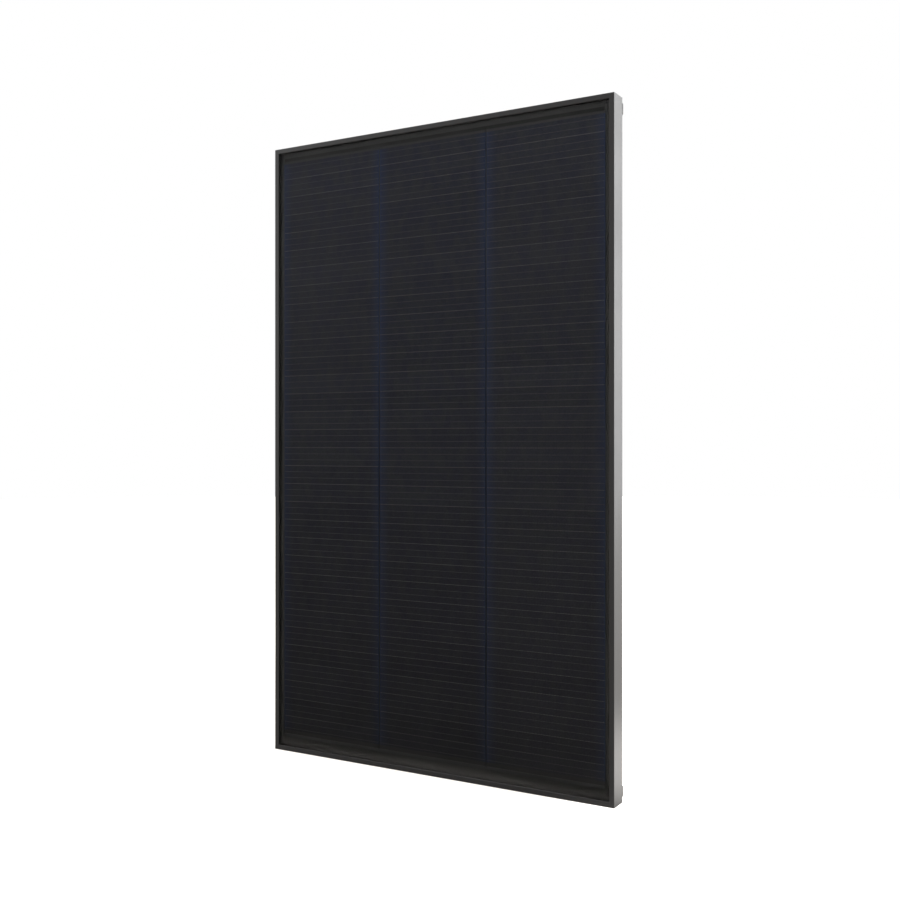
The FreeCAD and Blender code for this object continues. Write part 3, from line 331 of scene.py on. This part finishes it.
def solar_glass():
    """Coated low-iron glass: it mirrors only what it meets at a glancing angle.

    Its even sheen when it is looked at squarely is the coat of each layer sealed under it.
    """
    s = Shader("solar_glass")
    rolled = s.node("TexVoronoi", {"Vector": s.place(), "Scale": 900.0}).outputs["Distance"]
    facing = s.node("LayerWeight", {"Blend": 0.5}).outputs["Facing"]
    clear = s.node("BsdfTransparent", {"Color": (0.985, 0.992, 0.99)})
    blur = s.patches(5, UPPER, (0.12, 0.2), detail=5, rough=0.6)
    gloss = s.node("BsdfGlossy", {"Color": (0.96, 0.98, 1), "Roughness": blur,
                                  "Normal": s.bump(rolled, strength=0.06, distance=0.0002)})
    glancing = s.spread(facing, GLASS_GLANCING, GLASS_MIRRORING)
    return s.close(s.layer(glancing, clear.outputs[0], gloss.outputs[0]))


def clear_film():
    """The clear sheets that the cells are laminated in, very slightly cloudy."""
    s = Shader("clear_film")
    cloudy = s.blend(s.patches(14), (0.995, 0.995, 0.99), (0.985, 0.985, 0.98))
    return s.close(s.node("BsdfTransparent", {"Color": cloudy}).outputs[0])


def tarnished_silver(name, foot, top):
    """Fired silver print, so dark that it hardly shows against the cells, painted lighter towards the top of
    the string as painted light, and blotchy along its length.
    """
    s = Shader(name)
    # Painted light: the print is paler towards the top of the string.
    plain = s.blend(s.shares()[1], foot, top)
    blotch = s.patches(160, result=(0.82, 1.18), detail=5, rough=0.7)
    return s.sealed(Base_Color=s.node("HueSaturation", {"Color": plain, "Value": blotch}).outputs["Color"],
                    Roughness=s.patches(1200, result=(0.4, 0.55)),
                    Normal=s.bump(s.noise(1200, rough=0.7), strength=0.2, distance=0.0002))


def silicon_cell(name, foot, top):
    """Coated silicon: near black, bluer towards a strip's ends, masked grey at both ends of the string, and
    painted lighter towards the top of the string as painted light.
    """
    s = Shader(name)
    across, up = s.shares()
    edge = s.inset(across)
    strip = s.math("FLOOR", s.math("MULTIPLY", up, STRIP_COUNT))
    chance = s.node("TexWhiteNoise", {"W": strip}, noise_dimensions="1D").outputs["Value"]
    grain = s.patches(520, result=(-0.11, 0.11), detail=2)
    patch = s.patches(48, rough=0.6, stretch=(1.3, 1, 0.8))
    # The blend from foot to top is painted light, a painted reflection of the brighter space above.
    varied = {"Color": s.blend(up, foot, top), "Saturation": s.spread(patch, WHOLE, (0.55, 1.05)),
              "Value": s.math("ADD", s.spread(chance, WHOLE, (0.95, 1.05)), grain)}
    glow = s.blend(up, tint(foot, EDGE_GLOW), tint(top, EDGE_GLOW))
    rim = s.blend(up, tint(foot, RIM_GLOW), tint(top, RIM_GLOW))
    # Painted shade: the mask is darker at the foot of the string than at its top.
    mask = s.blend(up, MASK_FOOT, MASK_TOP)
    colour = s.node("HueSaturation", varied).outputs["Color"]
    colour = s.blend(s.spread(edge, EDGE_REACH, FALLING), colour, glow)
    colour = s.blend(s.spread(s.bands(130.0, "X"), (0.93, 1.0), (0, 0.05)), colour, (0.07, 0.07, 0.07))
    colour = s.blend(s.spread(edge, RIM_REACH, (0.55, 0)), colour, rim)
    masked = s.math("MAXIMUM", s.spread(up, MASK_BELOW, FALLING), s.spread(up, MASK_ABOVE))
    colour = s.blend(masked, colour, mask)
    return s.sealed(Base_Color=colour, Roughness=s.patches(20, result=(0.38, 0.5)))


def matt_film(name, base, pale, roughness, grain_size, index=1.45):
    """A matt surface; a film that is sealed in the laminate has an index close to its surroundings'."""
    s = Shader(name)
    cloud = s.patches(7, UPPER, detail=6, rough=0.6)
    grain = s.noise(grain_size, rough=0.7)
    return s.finish(Base_Color=s.blend(cloud, base, pale), IOR=index,
                    Roughness=s.spread(grain, MOST, (roughness, roughness + 0.14)),
                    Normal=s.bump(grain, strength=0.22, distance=0.0003))


def black_backsheet():
    """Matt black film, painted paler round its border inside as painted light against the frame lip's shade
    and a painted reflection in the glass, and painted darker towards the foot as painted shade, with the
    strips' faint print-through behind.
    """
    s = Shader("black_backsheet")
    across, up = s.shares()
    # Painted shade: darker towards the foot. Then painted light: paler towards the sides and both ends,
    # against the lip's shade.
    between = s.blend(up, GAP_FOOT, GAP_TOP)
    beside = s.blend(up, SIDE_FOOT, SIDE_TOP)
    inside = s.blend(s.spread(s.inset(across), SIDE_FADE, FALLING), between, beside)
    inside = s.blend(s.spread(up, HEAD_FADE), inside, HEAD_PAINTED_LIGHT)
    inside = s.blend(s.spread(up, SILL_FADE, FALLING), inside, SILL_PAINTED_LIGHT)
    outside = s.blend(s.patches(7, UPPER, detail=6, rough=0.6), REAR_CLEAN, REAR_DUSTY)
    grain = s.noise(700, rough=0.7)
    strips = s.math("MULTIPLY", s.spread(s.bands(11.0, "Z"), (0.85, 1.0)), 0.6)
    facing = s.node("SeparateXYZ", {"Vector": s.node("NewGeometry").outputs["Normal"]}).outputs["Y"]
    return s.sealed(Base_Color=s.blend(s.spread(facing, (-0.9, -0.5), FALLING), outside, inside),
                    Roughness=s.spread(grain, MOST, (0.5, 0.64)),
                    Normal=s.bump(s.math("ADD", strips, grain), strength=0.22, distance=0.0003))


def moulded(name, base, roughness, grain_size=1500):
    """Moulded plastic with spark-eroded grain, a little handling gloss and fine upright scratches."""
    s = Shader(name)
    handled = s.patches(16, UPPER, detail=5, rough=0.6)
    scratch = s.patches(240, span=(0.7, 0.78), result=(0, 0.4), detail=5, rough=0.8, stretch=(1, 1, 0.08))
    return s.finish(Base_Color=s.blend(scratch, base, shade(base, 2, 0.012)),
                    Roughness=s.spread(handled, WHOLE, (roughness - 0.07, roughness + 0.08)),
                    Normal=s.bump(s.noise(grain_size, detail=3, rough=0.6), strength=0.35, distance=0.0004))


def plated(name, base, roughness):
    """Bright metal, dulled in patches by handling and oxide."""
    s = Shader(name)
    dull = s.patches(180, UPPER, detail=5, rough=0.7)
    return s.finish(Base_Color=s.blend(dull, base, shade(base, 0.72)), Metallic=1.0,
                    Roughness=s.spread(dull, WHOLE, (roughness, roughness + 0.2)),
                    Normal=s.bump(s.noise(2200, detail=3), strength=0.12, distance=0.0001))


def diode_resin():
    """Glossy black casting resin."""
    s = Shader("diode_resin")
    return s.finish(Base_Color=(0.018, 0.018, 0.018), Roughness=s.patches(90, result=(0.22, 0.36)),
                    Normal=s.bump(s.noise(900), strength=0.1, distance=0.0002))


# The colours and roughness of each finish, by the record's slots, and then those with no slot of their own.
MATERIALS = {
    "black_anodised": black_anodised(),
    "mill_aluminium": mill_aluminium(),
    "black_silicone": rubber("black_silicone", (0.012, 0.012, 0.013), 0.42),
    "black_rubber": rubber("black_rubber", (0.020, 0.020, 0.021), 0.72),
    "solar_glass": solar_glass(),
    "clear_film": clear_film(),
    "black_backsheet": black_backsheet(),
    "silicon_cell": silicon_cell("silicon_cell", CELL_FOOT, CELL_TOP),
    "silver_adhesive": plated("silver_adhesive", (0.30, 0.30, 0.28), 0.4),
    "black_ribbon": matt_film("black_ribbon", (0.020, 0.0197, 0.020), (0.027, 0.0265, 0.027), 0.45, 900,
                              SEALED),
    "tinned_ribbon": plated("tinned_ribbon", (0.40, 0.40, 0.39), 0.34),
    "white_insulation": matt_film("white_insulation", (0.62, 0.62, 0.60), (0.70, 0.70, 0.68), 0.5, 900,
                                  SEALED),
    "black_box_plastic": moulded("black_box_plastic", (0.016, 0.016, 0.017), 0.46),
    "black_gland_plastic": moulded("black_gland_plastic", (0.020, 0.020, 0.021), 0.38, 2200),
    "grey_vent_plastic": moulded("grey_vent_plastic", (0.10, 0.10, 0.105), 0.5, 2200),
    "steel_pin": plated("steel_pin", (0.55, 0.55, 0.56), 0.22),
    "tinned_brass": plated("tinned_brass", (0.42, 0.40, 0.35), 0.34),
    "diode_resin": diode_resin(),
    "silver_label": matt_film("silver_label", (0.37, 0.38, 0.39), (0.44, 0.45, 0.46), 0.34, 1300),
    # Painted highlight: the right-hand strips' colours are paler than the others'.
    "silicon_cell_right": silicon_cell("silicon_cell_right", RIGHT_HIGHLIT_FOOT, RIGHT_HIGHLIT_TOP),
    # Each print's foot and top colours carry the painted foot-to-top lighting.
    "fine_silver": tarnished_silver("fine_silver", (0.0300, 0.0286, 0.0285), (0.0495, 0.0483, 0.0515)),
    "edge_silver": tarnished_silver("edge_silver", (0.0370, 0.0352, 0.0338), (0.0680, 0.0658, 0.0668)),
    "label_ink": matt_film("label_ink", (0.02, 0.02, 0.022), (0.035, 0.035, 0.038), 0.45, 1500),
}
for part in frame["record"]["subparts"]:
    part_mesh = frame["nodes"][part["node"]].data
    part_mesh.materials.clear()
    part_mesh.materials.append(MATERIALS[part["material_slot"]])
# The right-hand strips take the painted highlight.
frame["nodes"]["cell_string_right"].data.materials[0] = MATERIALS["silicon_cell_right"]


# --- pieces -----------------------------------------------------------------------------------------------

def box_mm(node):
    """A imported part's lowest and highest corners, in millimetres."""
    low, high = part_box(node)
    return low / MM, high / MM


ADHESIVE_LOW, ADHESIVE_HIGH = box_mm("box_adhesive")
BOX_RISE = (ADHESIVE_LOW.z + ADHESIVE_HIGH.z) / 2
BOX_HALF_WIDTH = ADHESIVE_HIGH.x + BOX_OVERHANG
BOX_HALF_HEIGHT = (ADHESIVE_HIGH.z - ADHESIVE_LOW.z) / 2 + BOX_OVERHANG
BOX_SEAT = box_mm("junction_box_base")[0].y
BOX_RIM = box_mm("lid_gasket")[0].y
LID_FACE = box_mm("lid_gasket")[1].y + LID_THICKNESS


def as_mesh(name, bm):
    mesh = bpy.data.meshes.new(name)
    bmesh.ops.recalc_face_normals(bm, faces=bm.faces)
    bm.to_mesh(mesh)
    bm.free()
    return mesh


def piece(name, bm, slot, body="panel", finish=None):
    """A mesh, in metres in the panel's frame, as a piece that rides on one body."""
    mesh = as_mesh(name, bm)
    made = bpy.data.objects.new(name, mesh)
    bpy.context.scene.collection.objects.link(made)
    mesh.materials.append(MATERIALS[finish or slot])
    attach(made, body)


def add_block(bm, points):
    """A block from eight points in millimetres: four round its lower end, and four round its upper end."""
    corners = [bm.verts.new(point * MM) for point in points]
    for face in ((0, 1, 2, 3), (4, 7, 6, 5), (0, 4, 5, 1), (1, 5, 6, 2), (2, 6, 7, 3), (3, 7, 4, 0)):
        bm.faces.new([corners[i] for i in face])


def add_bar(bm, low, high, lean=0.0):
    """A bar between two corners in millimetres; lean shifts its upper end back."""
    outline = ((low[0], low[1]), (high[0], low[1]), (high[0], high[1]), (low[0], high[1]))
    ends = ((low[2], 0.0), (high[2], lean))
    add_block(bm, [Vector((x, y + shift, z)) for z, shift in ends for x, y in outline])


def round_path(half_width, half_height, radius, steps):
    """Points round an upright rectangle with round corners, each with its outward direction."""
    path = []
    for turn, (sx, sz) in enumerate(((1, 1), (-1, 1), (-1, -1), (1, -1))):
        middle = Vector((sx * (half_width - radius), 0, sz * (half_height - radius)))
        for step in range(steps + 1):
            angle = math.radians(90 * (turn + step / steps))
            out = Vector((math.cos(angle), 0, math.sin(angle)))
            path.append((middle + out * radius, out))
    return path


def sweep(bm, path, middle, section):
    """A closed section of outward and backward offsets carried round the path, in millimetres."""
    rings = []
    for point, out in path:
        start = middle + point
        rings.append([bm.verts.new((start + out * o + Vector((0, b, 0))) * MM) for o, b in section])
    for i, ring in enumerate(rings):
        following = rings[(i + 1) % len(rings)]
        for j in range(len(section)):
            k = (j + 1) % len(section)
            bm.faces.new((ring[j], ring[k], following[k], following[j]))


def add_dashes(bm, left, right, back, foot, tall):
    """A row of printed dashes on a strip that leans back, for as long as a whole dash fits."""
    lean = tall * STRIP_TILT
    x = left
    while x + DASH_LENGTH < right:
        add_bar(bm, (x, back - PRINT_THICKNESS, foot), (x + DASH_LENGTH, back, foot + tall), lean)
        x += DASH_PITCH


def cell_print(column):
    """The silver print on a column's strips: a bright line at each lower edge, and two rows of dashes."""
    low, high = box_mm(f"cell_string_{column}")
    front = (low.y + high.y) / 2 - STRIP_LENGTH / 2 * STRIP_TILT - STRIP_THICKNESS / 2
    left = low.x + LINE_INSET
    right = high.x - LINE_INSET + LINE_OVERRUN
    lines, edges = bmesh.new(), bmesh.new()
    for strip in range(STRIP_COUNT):
        foot = low.z + strip * STRIP_PITCH
        back = front + EDGE_LINE_RISE * STRIP_TILT
        add_dashes(edges, left, right, back, foot + EDGE_LINE_RISE, EDGE_LINE)
        for line in range(1, LINES_ON_STRIP):
            rise = line * STRIP_PITCH / LINES_ON_STRIP
            add_dashes(lines, left, right, front + rise * STRIP_TILT, foot + rise, FINE_LINE)
    piece(f"print_lines_{column}", lines, "silver_adhesive", finish="fine_silver")
    piece(f"print_edges_{column}", edges, "silver_adhesive", finish="edge_silver")


def adhesive_bead():
    """The silicone squeezed out round the foot of the junction box."""
    bm = bmesh.new()
    middle = Vector((0, box_mm("backsheet")[1].y, BOX_RISE))
    sweep(bm, round_path(BOX_HALF_WIDTH, BOX_HALF_HEIGHT, BOX_CORNER, 10), middle, BEAD_SECTION)
    piece("adhesive_bead", bm, "black_silicone")


def lid_relief():
    """A raised border on the lid, and a row of short stiffening ribs near each side."""
    bm = bmesh.new()
    half_width = BOX_HALF_WIDTH - BORDER_INSET
    half_height = BOX_HALF_HEIGHT - BORDER_INSET
    path = round_path(half_width, half_height, BORDER_CORNER, 8)
    sweep(bm, path, Vector((0, LID_FACE, BOX_RISE)), BORDER_SECTION)
    below = Vector((LID_RIB_LENGTH / 2, LID_RIB_ROOT, LID_RIB_WIDTH / 2))
    above = Vector((LID_RIB_LENGTH / 2, LID_RIB_RISE, LID_RIB_WIDTH / 2))
    for side in (-1, 1):
        for step in range(LID_RIB_COUNT):
            z = BOX_RISE + (step - (LID_RIB_COUNT - 1) / 2) * LID_RIB_PITCH
            middle = Vector((side * LID_RIB_OFFSET, LID_FACE, z))
            add_bar(bm, middle - below, middle + above)
    piece("lid_relief", bm, "black_box_plastic", body="box_lid")


def wall_ribs():
    """Upright ribs on the two long walls of the box."""
    bm = bmesh.new()
    foot = BOX_SEAT + WALL_RIB_FOOT_GAP
    head = BOX_RIM - WALL_RIB_HEAD_GAP
    for side, levels in WALL_RIBS.items():
        root = side * (BOX_HALF_WIDTH - WALL_RIB_ROOT)
        crest = side * (BOX_HALF_WIDTH + WALL_RIB_RISE)
        inner, outer = sorted((root, crest))
        for level in levels:
            z = BOX_RISE + level
            add_bar(bm, (inner, foot, z - WALL_RIB_WIDTH / 2), (outer, head, z + WALL_RIB_WIDTH / 2))
    piece("wall_ribs", bm, "black_box_plastic")


def nut_grip(side):
    """Raised grips along the six flats of a gland nut."""
    low, high = box_mm(f"gland_nut_{side}")
    middle = (low + high) / 2
    flats = min(high.x - low.x, high.y - low.y) / 2
    levels = (low.z + GRIP_LOWER_GAP, high.z - GRIP_UPPER_GAP)
    section = ((-GRIP_HALF_FOOT, -GRIP_ROOT), (GRIP_HALF_FOOT, -GRIP_ROOT), (GRIP_HALF_HEAD, GRIP_RISE),
               (-GRIP_HALF_HEAD, GRIP_RISE))
    bm = bmesh.new()
    for face in range(FLAT_COUNT):
        angle = math.radians(FIRST_FLAT + 360 / FLAT_COUNT * face)
        out = Vector((math.cos(angle), math.sin(angle), 0))
        way = Vector((-out.y, out.x, 0))
        for offset in GRIP_OFFSETS:
            add_block(bm, [Vector((middle.x, middle.y, z)) + way * (offset + across) + out * (flats + proud)
                           for z in levels for across, proud in section])
    piece(f"nut_grip_{side}", bm, "black_gland_plastic")


def plate_rules():
    """The blank rating plate's printed border and ruled rows, without any lettering."""
    low, high = box_mm("rating_plate")
    middle = (low + high) / 2
    x = (high.x - low.x) / 2 - PLATE_MARGIN
    z = (high.z - low.z) / 2 - PLATE_MARGIN
    border = [(-x, -z, x, -z + PLATE_BORDER), (-x, z - PLATE_BORDER, x, z), (-x, -z, -x + PLATE_BORDER, z),
              (x - PLATE_BORDER, -z, x, z)]
    rows = [(-x, level, x, level + PLATE_RULE) for level in RULE_LEVELS]
    column = (COLUMN_OFFSET, RULE_LEVELS[0], COLUMN_OFFSET + PLATE_RULE, RULE_LEVELS[-1])
    bm = bmesh.new()
    for x0, z0, x1, z1 in (*border, *rows, column):
        add_bar(bm, (middle.x + x0, high.y - INK_ROOT, middle.z + z0),
                (middle.x + x1, high.y + INK_RISE, middle.z + z1))
    piece("plate_rules", bm, "silver_label", finish="label_ink")


for name in ("left", "centre", "right"):
    cell_print(name)
adhesive_bead()
lid_relief()
wall_ribs()
nut_grip("negative")
nut_grip("positive")
plate_rules()


# --- stage ------------------------------------------------------------------------------------------------

# The floor, and how strongly it glows: to the eye, in a spot beside the panel's right foot, and behind it.
FLOOR_RADIUS = 9
FLOOR_SIDES = 96
EYE_GLOW = 0.62
SPOT_PLACE = (0.42, 0.20, 0)
SPOT_FADE = (0.08, 0.35)
SPOT_GLOW = 3.1
REAR_FADE = (0.15, 0.8)
REAR_GLOW = 0.85

# Each soft lamp's name, place, aim, width, height and power in watts.
LAMPS = (
    ("side_softbox", (2.1, 2.5, 0.76), (0.29, 0, 0.15), 1.6, 2.2, 73),
    ("left_softbox", (-2.2, -1.9, 0.7), (-0.29, 0, 0.2), 0.9, 1.6, 7.5),
    ("top_softbox", (-0.85, -0.15, 1.7), (0.25, 0, -0.47), 0.9, 0.9, 22),
    ("right_softbox", (1.9, -1.2, 0.35), (-0.29, 0, 0.1), 0.4, 1.6, 7),
    ("rear_softbox", (-1.2, 2.4, 1.6), (0, 0, 0), 1.4, 1.4, 12),
)

# The camera's place and the way it looks, its lens and sensor in millimetres, and its shift.
EYE = (0.8506, -1.421, 0.0067)
GAZE = (-0.506, 0.8625, 0)
LENS = 44.32
SENSOR = 36
SHIFT = (0.0005, -0.0053)

# Light passes the glass and both films more than once, so it needs more than the usual number of passes.
CLEAR_PASSES = 24


def floor():
    """A pale floor that glows where the panel's right side mirrors it."""
    bm = bmesh.new()
    bmesh.ops.create_circle(bm, cap_ends=True, segments=FLOOR_SIDES, radius=FLOOR_RADIUS)
    mesh = as_mesh("floor", bm)
    made = bpy.data.objects.new("floor", mesh)
    made.location.z = CAD_BOX[0].z
    bpy.context.scene.collection.objects.link(made)
    s = Shader("pale_floor")
    away = s.node("VectorMath", {0: s.place(), 1: SPOT_PLACE}, operation="DISTANCE").outputs["Value"]
    behind = s.node("SeparateXYZ", {"Vector": s.place()}).outputs["Y"]
    spot = s.spread(away, SPOT_FADE, (SPOT_GLOW, 0))
    rear = s.spread(behind, REAR_FADE, (0, REAR_GLOW))
    seen = s.math("MULTIPLY", s.node("LightPath").outputs["Is Camera Ray"], EYE_GLOW)
    mesh.materials.append(s.finish(Base_Color=(0.52, 0.50, 0.475), Roughness=0.9,
                                   Emission_Color=(1, 0.965, 0.93),
                                   Emission_Strength=s.math("ADD", seen, s.math("ADD", spot, rear))))


def place_looking(name, data, where, direction):
    """A lamp or camera at a place, turned to look along a direction."""
    made = bpy.data.objects.new(name, data)
    made.location = where
    made.rotation_mode = "QUATERNION"
    made.rotation_quaternion = Vector(direction).to_track_quat("-Z", "Y")
    bpy.context.scene.collection.objects.link(made)
    return made


def lamps():
    for name, where, aim, width, height, power in LAMPS:
        data = bpy.data.lights.new(name, "AREA")
        data.shape = "RECTANGLE"
        data.size = width
        data.size_y = height
        data.energy = power
        place_looking(name, data, where, Vector(aim) - Vector(where))


def backdrop():
    """An even white world, and how its light is shown."""
    world = bpy.data.worlds.new("studio")
    world.use_nodes = True
    background = world.node_tree.nodes["Background"]
    background.inputs["Color"].default_value = (1, 1, 1, 1)
    background.inputs["Strength"].default_value = 1.0
    bpy.context.scene.world = world
    bpy.context.scene.view_settings.view_transform = "Standard"
    bpy.context.scene.cycles.transparent_max_bounces = CLEAR_PASSES


def camera():
    data = bpy.data.cameras.new("camera")
    data.lens = LENS
    data.sensor_width = SENSOR
    data.shift_x, data.shift_y = SHIFT
    bpy.context.scene.camera = place_looking("camera", data, EYE, GAZE)


floor()
lamps()
backdrop()
camera()
